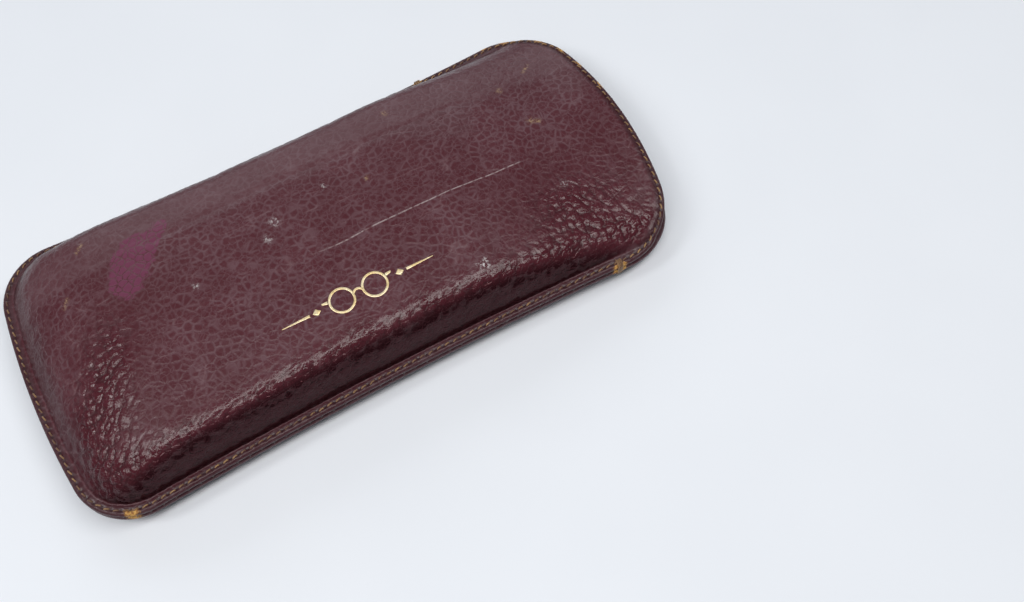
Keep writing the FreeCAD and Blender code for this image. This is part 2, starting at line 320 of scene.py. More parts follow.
def crease_depth(x, y):
    """Old folds pressed along the front, in mm."""
    depth = 0.0
    for k, (start, end) in enumerate(CREASES):
        wander = 0.35 * np.sin(x / 9.0 + 2 * k) + 0.2 * np.sin(x / 3.7 + k)
        distance, t = line_distance(x, y + wander, start, end)
        fade = smooth_step(t * 8) * smooth_step((1 - t) * 8)
        depth = depth + (0.16 - 0.05 * k) * np.exp(-(distance / 0.8) ** 2) * fade
    return depth


def spots(x, y, marks):
    total = np.zeros_like(x)
    for centre, radius in marks:
        total += bump_at(x, y, centre, radius)
    return np.clip(total, 0, 1)


def strokes(x, y, lines, width):
    total = np.zeros_like(x)
    for start, end in lines:
        distance, _ = line_distance(x, y, start, end)
        total += np.exp(-(distance / width) ** 2)
    return np.clip(total, 0, 1)


def bare_lip(x, y, edge):
    """How worn through the leather is, only near the lip's edge."""
    total = np.zeros_like(x)
    for centre, radius, amount in BARE_LIP:
        total += amount * bump_at(x, y, centre, radius)
    return total * np.exp(-(edge / 1.3) ** 2)


# ---------------------------------------------------------------- covers

EMBLEM_CENTRE = (-2.7, -19.1)
EMBLEM_LENS = 3.4
EMBLEM_LENS_GAP = 2.0
EMBLEM_LINE = 0.62
EMBLEM_RULE = 9.0
EMBLEM_LOZENGE = 1.1


def raised_grain(x, y):
    """Where the pebbles stand proud: the near shoulder, the closed end and the near mouth."""
    inwards = sewn_edge_distance(x, y)
    near_side = np.exp(-((inwards - 6.4) / 4.8) ** 2)
    near_side = (y < 0) * smooth_step((x + 78) / 10) * near_side
    far_side = 0.25 * (y > 0) * np.exp(-((inwards - 7.0) / 3.0) ** 2)
    ridge = -72 + 0.46 * (y + 24)
    closed_end = np.exp(-((x - ridge) / 8.5) ** 2) * smooth_step((14 - y) / 22)
    near_mouth = np.exp(-((x - 58) / 15) ** 2 - ((y + 22) / 9.5) ** 2)
    return np.clip(near_side + far_side + closed_end + near_mouth, 0, 1)


PEBBLE = 2.45
PEBBLE_RELIEF = 0.022
PROUD_RELIEF = 0.38
FOLD_SIZE = 4.6
FOLD_RELIEF = 0.12
WAVE_SIZE = 11.0
WAVE_RELIEF = 0.10


def grain_relief(points, normal, x, y, edge, name):
    """Height of the pebbled grain in mm, the pebble tops and how proud they stand."""
    warp = np.stack([smooth_noise(points, 3.1, SEED + k) for k in range(3)], 1)
    nearest, second = pebble_cells(points + 0.6 * warp, PEBBLE, SEED + 10)
    top = smooth_step((second - nearest) / 0.30)
    dome = top * (1 - 0.55 * nearest)
    slope = 1 - normal[:, 2]
    proud = raised_grain(x, y)
    if name == "back":
        proud = 0.45 * np.exp(-((slope - 0.2) / 0.2) ** 2)
    lip = smooth_step((edge - 1.9) / 2.2)
    strength = (PEBBLE_RELIEF + PROUD_RELIEF * proud) * (0.2 + 0.8 * lip)
    fold = 1 - np.abs(smooth_noise(points * (0.55, 1.0, 1.0), FOLD_SIZE, SEED + 50))
    fold = smooth_step((fold - 0.66) / 0.34)
    fold_strength = FOLD_RELIEF * np.exp(-((slope - 0.35) / 0.25) ** 2) * lip
    relief = strength * (dome - 0.5) - fold_strength * fold
    relief += WAVE_RELIEF * smooth_noise(points, WAVE_SIZE, SEED + 70) * lip
    return relief, top * (1 - 0.45 * fold), proud * lip


def stitch_points(set_back, inset, pitch):
    """Middle and direction of each stitch round the whole lip, in the half frame."""
    _, _, length = half_outline(set_back, inset, 2)
    count = round(length / pitch)
    points, inwards, _ = half_outline(set_back, inset, 2 * count + 1)
    middles, inward = points[1::2], inwards[1::2]
    along = np.stack([inward[:, 1], -inward[:, 0]], 1)
    lower = middles * (1, -1)
    lower_in = inward * (1, -1)
    lower_along = np.stack([lower_in[:, 1], -lower_in[:, 0]], 1)
    both = np.concatenate([middles, lower])
    return both, np.concatenate([inward, lower_in]), np.concatenate([along, lower_along])


STITCH_INSET = 1.25
STITCH_PITCH = 2.3
STITCH_LENGTH = 1.55
STITCH_SLANT = math.radians(14)


def rib_rows():
    """Rows of a cover rib from the spine to the lip and back underneath: for each row its
    inset from the lip, its share of the way to the spine, and its depth in the leather."""
    half = LIP / 2
    rows = [(STRAIGHT_ROWS, 1 - k / 64, 0.0) for k in range(64)]
    rows += [(d, 0.0, 0.0) for d in np.linspace(STRAIGHT_ROWS, 4.2, 13)]
    rows += [(d, 0.0, 0.0) for d in (3.8, 3.45, 3.15, 2.9, 2.7, 2.45)]
    rows += [(d, 0.0, 0.0) for d in (2.2, 1.95, 1.7, 1.5, 1.3, 1.1)]
    for k in range(9):
        turn = math.pi * k / 8
        rows.append((half * (1 - math.sin(turn)), 0.0, half * (1 - math.cos(turn))))
    rows += [(1.8, 0.0, LIP), (3.0, 0.0, LIP + 0.1), (4.2, 0.0, LIP + 0.2)]
    rows += [(d, 0.0, LEATHER) for d in (5.2, 6.4, STRAIGHT_ROWS)]
    rows += [(STRAIGHT_ROWS, f, LEATHER) for f in (0.15, 0.35, 0.6, 0.8, 1.0)]
    return np.array(rows)


def plan_grid(set_back, rows, ribs):
    """Plan positions of every row of every rib on the +Y half."""
    points, inwards, _ = half_outline(set_back, 0.0, ribs + 1)
    spine_x = np.clip(points[:, 0] * SPINE_HALF / 66.0, -SPINE_HALF, SPINE_HALF)
    spine = np.stack([spine_x, np.zeros_like(spine_x)], 1)
    inset = points[:, None] + inwards[:, None] * rows[None, :, 0:1]
    share = rows[None, :, 1:2]
    plan = inset + (spine[:, None] - inset) * share
    plan[0, :, 1] = 0.0
    plan[-1, :, 1] = 0.0
    return plan


def mesh_object(name, vertices, faces, material):
    mesh = bpy.data.meshes.new(name)
    mesh.from_pydata([tuple(v) for v in vertices], [], faces)
    mesh.update()
    mesh.polygons.foreach_set("use_smooth", [True] * len(mesh.polygons))
    piece = bpy.data.objects.new(name, mesh)
    bpy.context.scene.collection.objects.link(piece)
    mesh.materials.append(material)
    return piece


def grid_faces(ribs, rows, flip, offset=0, close_rows=False):
    """Quads between neighbouring ribs; flip turns them over."""
    across = rows if close_rows else rows - 1
    i, k = np.meshgrid(np.arange(ribs - 1), np.arange(across), indexing="ij")
    a = offset + i * rows + k
    b = offset + i * rows + (k + 1) % rows
    c = b + rows
    d = a + rows
    quads = np.stack([a, b, c, d], -1).reshape(-1, 4)
    return quads[:, ::-1] if flip else quads


def weld(piece, distance=2e-6):
    """Joins the points where ribs meet and turns every face outwards."""
    work = bmesh.new()
    work.from_mesh(piece.data)
    bmesh.ops.remove_doubles(work, verts=work.verts, dist=distance)
    bmesh.ops.dissolve_degenerate(work, edges=work.edges, dist=1e-7)
    bmesh.ops.recalc_face_normals(work, faces=work.faces)
    work.to_mesh(piece.data)
    work.free()
    piece.data.update()


def add_mask(piece, name, values):
    layer = piece.data.attributes.new(name, "FLOAT", "POINT")
    layer.data.foreach_set("value", np.asarray(values, np.float32))


def emblem_mask(x, y):
    """1 where the foil ornament presses the leather flat."""
    u, v = x - EMBLEM_CENTRE[0], y - EMBLEM_CENTRE[1]
    return smooth_step((21.5 - np.abs(u)) / 2) * smooth_step((4.8 - np.abs(v)) / 2)


STITCH_HOLE = 0.26
STITCH_CHANNEL = 0.10


def stitch_holes(x, y, edge, stitches):
    """1 where the thread dives into the lip, between one stitch and the next."""
    holes = np.zeros_like(x)
    near = edge < 2.4
    gap_x = x[near, None] - stitches[None, :, 0]
    gap_y = y[near, None] - stitches[None, :, 1]
    closest = np.hypot(gap_x, gap_y).min(1)
    on_line = np.exp(-((edge[near] - STITCH_INSET) / 0.42) ** 2)
    holes[near] = smooth_step((closest - 0.62) / 0.5) * on_line
    return holes


def leather_cover(name, material):
    """One cover: pebbled outer face, rounded sewn lip and plain inner face, one closed skin."""
    half = HALVES[name]
    panel, set_back = half["panel"], half["set_back"]
    rows = rib_rows()
    plan = plan_grid(set_back, rows, RIBS)
    shape = plan.shape[:2]
    stitches, _, _ = stitch_points(set_back, STITCH_INSET, STITCH_PITCH)
    skins, masks, faces = [], [], []
    for mirror in (1, -1):
        x = plan[..., 0].ravel()
        y = (plan[..., 1] * mirror).ravel()
        depth = np.broadcast_to(rows[:, 2], shape).ravel()
        edge = np.broadcast_to(rows[:, 0] + 30 * rows[:, 1], shape).ravel()
        normal = surface_normal(x, y, cover_height, panel)
        height = cover_height(x, y, panel)
        base = np.stack([x, y, height], 1)
        relief, top, proud = grain_relief(base, normal, x, y, edge, name)
        # wall marks the steep parts, which the leather material paints darker as shade
        wall = smooth_step((0.86 - normal[:, 2]) / 0.4)
        masks_here = {"grain": top, "proud": proud, "wall": wall}
        if name == "front":
            press = 1 - 0.75 * emblem_mask(x, y)
            relief = relief * press - crease_depth(x, y)
            masks_here["ink"] = spots(x, y, INK_SPOTS)
            scratches = 0.8 * strokes(x, y, SCUFF_LINES, SCRATCH_WIDTH)
            masks_here["scuff"] = spots(x, y, SCUFF_SPOTS) + scratches
            scratches = strokes(x, y, TAN_LINES, SCRATCH_WIDTH)
            masks_here["tan"] = spots(x, y, TAN_SPOTS) + scratches
        else:
            zero = np.zeros_like(x)
            masks_here.update(ink=zero, scuff=zero, tan=zero)
        masks_here["bare"] = bare_lip(x, y, edge)
        masks_here["lip"] = smooth_step((2.9 - edge) / 0.7)
        # Painted sheen: the front's far band beyond the upper fold is marked to be lightened, as
        # if it caught the pale surroundings
        masks_here["far_band_sheen"] = smooth_step((y - 18.4) / 1.6) * (name == "front")
        holes = stitch_holes(x, y, edge, stitches)
        channel = np.exp(-((edge - STITCH_INSET) / 0.5) ** 2)
        relief = relief - STITCH_CHANNEL * channel - STITCH_HOLE * holes
        masks_here["hole"] = holes
        underneath = np.where(depth > LIP / 2 + 0.2, 0.0, 0.5)
        relief = np.where(depth < LIP / 2, relief, relief * underneath)
        skin = base - normal * (depth - relief)[:, None]
        skin[:, 2] = np.minimum(skin[:, 2], panel["flat"])
        above_seam = np.maximum(skin[:, 2], HALF_GAP - 0.05)
        skin[:, 2] = np.where(depth >= LIP, above_seam, skin[:, 2])
        flip = (mirror > 0) != (half["side"] > 0)
        faces.append(grid_faces(shape[0], shape[1], flip, len(x) * (mirror < 0)))
        skins.append(skin)
        masks.append(masks_here)
    vertices = upright(np.concatenate(skins), half["side"])
    faces = np.concatenate(faces).tolist()
    piece = mesh_object(name + "_cover_leather", vertices, faces, material)
    for key in masks[0]:
        add_mask(piece, key, np.concatenate([m[key] for m in masks]))
    weld(piece)
    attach(piece, "root")
    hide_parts(name + "_cover")


# ---------------------------------------------------------------- linings and facings

def inner_sheet(name, part, rows, ribs, first, depth, material, ripple, thick):
    """Sheet glued inside a half, with rows as in rib_rows; it starts at rib number first."""
    half = HALVES[name]
    panel, set_back = half["panel"], half["set_back"]
    plan = plan_grid(set_back, rows, ribs)[first:]
    sheets, faces = [], []
    for mirror in (1, -1):
        x = plan[..., 0].ravel()
        y = (plan[..., 1] * mirror).ravel()
        normal = surface_normal(x, y, panel_height, panel)
        base = np.stack([x, y, panel_height(x, y, panel)], 1)
        wave = ripple * smooth_noise(base, 2.6, SEED + 90)
        skin = base - normal * (depth + wave)[:, None]
        skin[:, 2] = np.minimum(skin[:, 2], panel["flat"] - depth)
        skin[:, 2] = np.maximum(skin[:, 2], HALF_GAP - 0.1)
        flip = (mirror > 0) == (half["side"] > 0)
        faces.append(grid_faces(plan.shape[0], plan.shape[1], flip, len(x) * (mirror < 0)))
        sheets.append(skin)
    vertices = upright(np.concatenate(sheets), half["side"])
    faces = np.concatenate(faces).tolist()
    piece = mesh_object(name + "_" + part, vertices, faces, material)
    weld(piece)
    solid = piece.modifiers.new("thickness", "SOLIDIFY")
    solid.thickness = thick * MM
    solid.offset = -1.0
    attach(piece, "root")
    return piece


def lining(name, material):
    """Cloth that lines the whole half."""
    rows = [(inset, 0.0, 0.0) for inset in (2.6, 3.2, 4.2, 5.5, 7.0)]
    rows += [(STRAIGHT_ROWS, k / 20, 0.0) for k in range(21)]
    piece = inner_sheet(name, "lining_cloth", np.array(rows), 200, 0, LINING_DEPTH - 0.25,
                        material, 0.05, 0.45)
    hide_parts(name + "_lining")


FACING_START = 58.0


def facing(name, material):
    """Thin leather band round the inside of the mouth, its inner edge rounded over."""
    rows = [(inset, 0.0, 0.0) for inset in (0.9, 1.3, 2.2, 4.0, 6.5, STRAIGHT_ROWS)]
    rows += [(STRAIGHT_ROWS, k / 100, 0.0) for k in (3, 8, 13, 17, 18.5)]
    ribs = 260
    points, _, _ = half_outline(HALVES[name]["set_back"], 0.0, ribs + 1)
    first = int(np.argmax(points[:, 0] > FACING_START))
    piece = inner_sheet(name, "mouth_facing_leather", np.array(rows), ribs, first, LINING_DEPTH,
                        material, 0.03, 0.5)
    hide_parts(name + "_mouth_facing")


# ---------------------------------------------------------------- thread

def tube(path, radius, sides, twist):
    """Rounded thread along a path of points in mm; twist gives it plied ridges."""
    path = np.asarray(path, float)
    tangent = np.gradient(path, axis=0)
    tangent /= np.linalg.norm(tangent, axis=1, keepdims=True)
    guide = np.array([0.0, 0.0, 1.0])
    if abs(tangent[len(path) // 2] @ guide) > 0.8:
        guide = np.array([1.0, 0.0, 0.0])
    first = np.cross(tangent, guide)
    first /= np.linalg.norm(first, axis=1, keepdims=True)
    second = np.cross(tangent, first)
    travel = np.concatenate([[0], np.cumsum(np.linalg.norm(np.diff(path, axis=0), axis=1))])
    turn = np.linspace(0, 2 * np.pi, sides, endpoint=False)
    taper = np.minimum(1, 0.35 + np.minimum(travel, travel[-1] - travel) / radius * 0.65)
    ply = 1 + twist * np.cos(2 * (turn[None] - travel[:, None] * 4.2))
    size = radius * taper[:, None] * ply
    across = np.cos(turn)[None, :, None] * first[:, None]
    across = across + np.sin(turn)[None, :, None] * second[:, None]
    ring = path[:, None] + size[..., None] * across
    count = len(path)
    faces = grid_faces(count, sides, False, 0, True).tolist()
    faces.append(list(range(sides)))
    faces.append(list(range((count - 1) * sides, count * sides))[::-1])
    return ring.reshape(-1, 3), faces


def join_tubes(name, tubes, side, material, node):
    """One piece made of many threads."""
    vertices, faces, offset = [], [], 0
    for points, quads in tubes:
        vertices.append(points)
        faces += [[v + offset for v in face] for face in quads]
        offset += len(points)
    piece = mesh_object(name, upright(np.concatenate(vertices), side), faces, material)
    weld(piece, 1e-7)
    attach(piece, "root")
    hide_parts(node)


def lip_stitches(name, material):
    """Slanted saddle stitches that dive into their holes at each end."""
    half = HALVES[name]
    panel = half["panel"]
    rng = np.random.default_rng(SEED + (half["side"] > 0))
    middles, inwards, alongs = stitch_points(half["set_back"], STITCH_INSET, STITCH_PITCH)
    tubes = []
    for middle, inward, along in zip(middles, inwards, alongs):
        slant = STITCH_SLANT + rng.normal(0, 0.06)
        worn = rng.random()
        length = STITCH_LENGTH * rng.uniform(0.9, 1.08)
        direction = along * math.cos(slant) + inward * math.sin(slant)
        t = np.linspace(-0.5, 0.5, 8)
        plan = middle + direction * (t * length)[:, None] + inward * rng.normal(0, 0.05)
        bow = 0.30 - 0.62 * np.abs(2 * t) ** 3 - 0.1 * worn
        x, y = plan[:, 0], plan[:, 1]
        normal = surface_normal(x, y, cover_height, panel)
        base = np.stack([x, y, cover_height(x, y, panel) - 0.12], 1)
        radius = 0.19 * rng.uniform(0.88, 1.08)
        tubes.append(tube(base + normal * bow[:, None], radius, 7, 0.16))
    join_tubes(name + "_lip_stitches", tubes, half["side"], material,
               name + "_edge_stitching")


def seam_end(node):
    low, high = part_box(node)
    return 0.5 * (low.x + high.x) / MM


NEAR_SEAM_END = seam_end("near_bar_tack")
FAR_SEAM_END = seam_end("far_bar_tack")


def ladder_stitches(material):
    """Short rungs deep in the groove between the two lips, on the three sewn sides."""
    rng = np.random.default_rng(SEED + 5)
    points, inwards, alongs = stitch_points(FRONT_SET_BACK, 0.45, 3.2)
    tubes = []
    for point, inward, along in zip(points, inwards, alongs):
        if point[0] > (FAR_SEAM_END if point[1] > 0 else NEAR_SEAM_END):
            continue
        t = np.linspace(-1, 1, 7)
        lean = along * rng.normal(0.16, 0.08)
        plan = point + lean * t[:, None] - inward * (0.18 * (1 - t ** 2))[:, None]
        path = np.concatenate([plan, (t * 0.62)[:, None]], 1)
        tubes.append(tube(path, 0.16, 6, 0.14))
    join_tubes("side_seam_ladder_thread", tubes, 1, material, "side_seam_thread")


def bar_tack(name, centre_x, side, strands, material, node):
    """Thread wrapped over both lips at the end of the seam."""
    rng = np.random.default_rng(SEED + 7 + int(side > 0))
    tubes = []
    turn = np.linspace(-0.5 * math.pi, 0.5 * math.pi, 11)
    for k in range(strands):
        x = centre_x + (k - (strands - 1) / 2) * 0.52 + rng.normal(0, 0.05)
        edge_y = HALF_WAIST + x * x / (2 * SIDE_RADIUS)
        reach = 1.7 + rng.normal(0, 0.12)
        arc_y = edge_y - 0.9 + 1.02 * np.cos(turn)
        arc_z = np.sign(turn) * (FLANGE_TOP - 0.95) + 1.15 * np.sin(turn)
        foot = [edge_y - reach - 0.35, edge_y - reach]
        y = np.concatenate([foot, arc_y, foot[::-1]])
        z = np.concatenate([[-1.85, -2.28], arc_z, [2.28, 1.85]])
        lean = np.linspace(-0.18, 0.18, len(y))
        path = np.stack([x + lean, side * y, z], 1)
        tubes.append(tube(path, 0.24, 7, 0.14))
    join_tubes(name, tubes, 1, material, node)


# ---------------------------------------------------------------- foil ornament

def arc_strip(centre, radius, width, start, end, steps):
    """Flat curved strip as rows of points across its width."""
    turn = np.linspace(start, end, steps)
    rows = []
    for r in np.linspace(radius - width / 2, radius + width / 2, 4):
        rows.append(np.stack([centre[0] + r * np.cos(turn), centre[1] + r * np.sin(turn)], 1))
    return np.stack(rows, 1)


def tapered_rule(start, end, width_start, width_end, steps):
    """Flat straight strip whose width changes along it."""
    t = np.linspace(0, 1, steps)
    x = start[0] + (end[0] - start[0]) * t
    y = start[1] + (end[1] - start[1]) * t
    half = (width_start + (width_end - width_start) * t) / 2
    return np.stack([np.stack([x, y + half * s], 1) for s in (-1, -0.33, 0.33, 1)], 1)


def foil_ornament(material):
    """Generic spectacles ornament blocked in foil, pressed onto the grain of the cover."""
    lens_x = EMBLEM_LENS + EMBLEM_LENS_GAP / 2
    ring = EMBLEM_LENS - EMBLEM_LINE / 2
    end_x = lens_x + EMBLEM_LENS
    rule_x = end_x + 2.4 + EMBLEM_LOZENGE
    full = 2 * math.pi
    strips = [arc_strip((0, -0.2), 1.25, EMBLEM_LINE, 0.12 * math.pi, 0.88 * math.pi, 14)]
    for side in (-1, 1):
        strips.append(arc_strip((side * lens_x, 0), ring, EMBLEM_LINE, 0, full, 64))
        temple = (side * (end_x - 0.1), 1.0), (side * (end_x + 1.5), 1.25)
        strips.append(tapered_rule(*temple, 0.9, 0.5, 6))
        middle = side * (rule_x - 0.2)
        strips.append(tapered_rule((middle - EMBLEM_LOZENGE, 0), (middle, 0), 0.02, 1.9, 6))
        strips.append(tapered_rule((middle, 0), (middle + EMBLEM_LOZENGE, 0), 1.9, 0.02, 6))
        near = side * (rule_x + 1.6)
        far = near + side * (EMBLEM_RULE - 1.6)
        strips.append(tapered_rule((near, 0.0), (far, 0.0), 0.75, 0.18, 24))
    vertices, faces, offset = [], [], 0
    for strip in strips:
        x = strip[..., 0].ravel() + EMBLEM_CENTRE[0]
        y = strip[..., 1].ravel() + EMBLEM_CENTRE[1]
        normal = surface_normal(x, y, cover_height, FRONT)
        base = np.stack([x, y, cover_height(x, y, FRONT)], 1)
        far_from_lip = np.full_like(x, 30.0)
        relief, _, _ = grain_relief(base, normal, x, y, far_from_lip, "front")
        relief = relief * (1 - 0.75 * emblem_mask(x, y)) - crease_depth(x, y)
        vertices.append(base + normal * (relief + 0.045)[:, None])
        faces += grid_faces(strip.shape[0], strip.shape[1], False, offset).tolist()
        offset += len(x)
    piece = mesh_object("foil_ornament", upright(np.concatenate(vertices), 1), faces, material)
    weld(piece, 1e-7)
    solid = piece.modifiers.new("thickness", "SOLIDIFY")
    solid.thickness = 0.05 * MM
    solid.offset = -1.0
    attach(piece, "root")
    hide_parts("foil_emblem")


# ---------------------------------------------------------------- materials

class Nodes:
    """Short way to build a node material on object coordinates in metres."""

    def __init__(self, name):
        self.material = bpy.data.materials.new(name)
        self.material.use_nodes = True
        self.tree = self.material.node_tree
        self.shader = self.tree.nodes["Principled BSDF"]
        self.place = self.add("ShaderNodeTexCoord").outputs["Object"]

    def add(self, kind, **settings):
        node = self.tree.nodes.new(kind)
        for key, value in settings.items():
            setattr(node, key, value)
        return node

    def link(self, output, socket):
        self.tree.links.new(output, socket)

    def feed(self, socket, value):
        if isinstance(value, bpy.types.NodeSocket):
            self.link(value, socket)
        else:
            socket.default_value = value

    def mask(self, name):
        return self.add("ShaderNodeAttribute", attribute_name=name).outputs["Fac"]

    def noise(self, size_mm, detail=3.0, stretch=(1, 1, 1), rough=0.55):
        mapping = self.add("ShaderNodeMapping")
        mapping.inputs["Scale"].default_value = stretch
        self.link(self.place, mapping.inputs["Vector"])
        node = self.add("ShaderNodeTexNoise")
        node.inputs["Scale"].default_value = 1 / (size_mm * MM)
        node.inputs["Detail"].default_value = detail
        node.inputs["Roughness"].default_value = rough
        self.link(mapping.outputs["Vector"], node.inputs["Vector"])
        return node.outputs["Fac"]

    def cells(self, size_mm, wander_mm=0.0, stretch=(1, 1, 1)):
        """Distance to the edges of pebble-like cells, bent by noise so no two look alike."""
        wobble = self.add("ShaderNodeTexNoise")
        wobble.inputs["Scale"].default_value = 1 / (size_mm * 1.4 * MM)
        wobble.inputs["Detail"].default_value = 2.0
        self.link(self.place, wobble.inputs["Vector"])
        centred = self.add("ShaderNodeVectorMath", operation="SUBTRACT")
        self.link(wobble.outputs["Color"], centred.inputs[0])
        centred.inputs[1].default_value = (0.5, 0.5, 0.5)
        scaled = self.add("ShaderNodeVectorMath", operation="SCALE")
        self.link(centred.outputs[0], scaled.inputs[0])
        scaled.inputs["Scale"].default_value = 2 * wander_mm * MM
        moved = self.add("ShaderNodeVectorMath", operation="ADD")
        self.link(self.place, moved.inputs[0])
        self.link(scaled.outputs[0], moved.inputs[1])
        mapping = self.add("ShaderNodeMapping")
        mapping.inputs["Scale"].default_value = stretch
        self.link(moved.outputs[0], mapping.inputs["Vector"])
        node = self.add("ShaderNodeTexVoronoi", feature="DISTANCE_TO_EDGE")
        node.inputs["Scale"].default_value = 1 / (size_mm * MM)
        self.link(mapping.outputs["Vector"], node.inputs["Vector"])
        return node.outputs["Distance"]

    def math(self, operation, a, b=0.0, clamp=False):
        node = self.add("ShaderNodeMath", operation=operation, use_clamp=clamp)
        self.feed(node.inputs[0], a)
        self.feed(node.inputs[1], b)
        return node.outputs[0]

    def ramp(self, value, low, high, to_low=0.0, to_high=1.0):
        node = self.add("ShaderNodeMapRange", interpolation_type="SMOOTHSTEP")
        self.feed(node.inputs["Value"], value)
        node.inputs["From Min"].default_value = low
        node.inputs["From Max"].default_value = high
        node.inputs["To Min"].default_value = to_low
        node.inputs["To Max"].default_value = to_high
        return node.outputs["Result"]

    def mix(self, share, a, b):
        node = self.add("ShaderNodeMix", data_type="RGBA")
        self.feed(node.inputs[0], share)
        for socket, value in ((node.inputs[6], a), (node.inputs[7], b)):
            self.feed(socket, (*value, 1.0) if isinstance(value, tuple) else value)
        return node.outputs[2]

    def bump(self, height, distance_mm, strength=1.0, under=None):
        node = self.add("ShaderNodeBump")
        node.inputs["Strength"].default_value = strength
        node.inputs["Distance"].default_value = distance_mm * MM
        self.link(height, node.inputs["Height"])
        if under is not None:
            self.link(under, node.inputs["Normal"])
        return node.outputs["Normal"]

    def finish(self, colour, roughness, normal, **fixed):
        self.feed(self.shader.inputs["Base Color"], colour)
        self.feed(self.shader.inputs["Roughness"], roughness)
        self.link(normal, self.shader.inputs["Normal"])
        for key, value in fixed.items():
            self.shader.inputs[key.replace("_", " ")].default_value = value
        return self.material


def scratched_fold(n):
    """Hairline where the lower fold has scuffed through, over part of its length."""
    (start_x, fold_y), (end_x, _) = SCRATCHED_CREASE
    axes = n.add("ShaderNodeSeparateXYZ")
    n.link(n.place, axes.inputs[0])
    wander = n.math("MULTIPLY", n.math("SUBTRACT", n.noise(16.0, 1.0), 0.5), 1.6 * MM)
    across = n.math("SUBTRACT", n.math("SUBTRACT", axes.outputs["Y"], fold_y * MM), wander)
    line = n.ramp(n.math("ABSOLUTE", across), 0.26 * MM, 0.08 * MM)
    begins = n.ramp(axes.outputs["X"], start_x * MM, (start_x + 14) * MM)
    ends = n.ramp(axes.outputs["X"], end_x * MM, (end_x - 3) * MM)
    length = n.math("MULTIPLY", begins, ends)
    return n.math("MULTIPLY", line, length)


PEBBLE_DARK = (0.068, 0.0100, 0.0160)
PEBBLE_LIGHT = (0.083, 0.0165, 0.0240)
PEBBLE_SPECKLE = (0.036, 0.005, 0.009)
VEIN = (0.130, 0.066, 0.078)
LONG_VEIN = (0.170, 0.095, 0.105)
# Painted sheen colour for the far band of the front
FAR_BAND_SHEEN = (0.128, 0.066, 0.075)
# Painted shade colour for the creases between raised pebbles
GRAIN_CREASE_SHADE = (0.024, 0.004, 0.006)
LIP_LEATHER = (0.026, 0.004, 0.007)
# Painted shade colour for the steep walls
WALL_PAINTED_SHADE = (0.030, 0.0035, 0.0060)
INK = (0.140, 0.028, 0.066)
SCRATCH = (0.36, 0.29, 0.29)
SCUFF = (0.55, 0.52, 0.52)
TAN_MARK = (0.36, 0.24, 0.13)
BARE_DARK = (0.28, 0.11, 0.025)
BARE_LIGHT = (0.62, 0.36, 0.10)
STITCH_HOLE_SHADE = (0.010, 0.003, 0.003)
# Leather isn't metal: this only keeps the steep walls' reflection of the floor dark red
WALL_METALLIC = 0.8


def worn_marks(n, colour, pebbles):
    """Ink stain, scratched fold, scuffs and tan marks on the front."""
    ink = n.math("ADD", n.mask("ink"), n.math("MULTIPLY", n.noise(2.4, 4.0, rough=0.65), 1.2))
    between = n.ramp(pebbles, 0.03, 0.10, 0.1, 0.9)
    colour = n.mix(n.math("MULTIPLY", n.ramp(ink, 1.06, 1.30), between), colour, INK)
    fine = n.noise(0.7, 5.0, rough=0.7)
    gaps = n.ramp(n.noise(1.5, 4.0), 0.36, 0.56, 0.1, 1.0)
    rub = n.math("MULTIPLY", scratched_fold(n), gaps)
    colour = n.mix(n.math("MULTIPLY", rub, 0.8), colour, SCRATCH)
    scuff = n.math("MULTIPLY", n.mask("scuff"), n.ramp(fine, 0.48, 0.60))
    colour = n.mix(n.math("MULTIPLY", scuff, 0.85), colour, SCUFF)
    tan = n.math("MULTIPLY", n.mask("tan"), n.ramp(fine, 0.44, 0.56))
    return n.mix(n.math("MULTIPLY", tan, 0.8), colour, TAN_MARK)


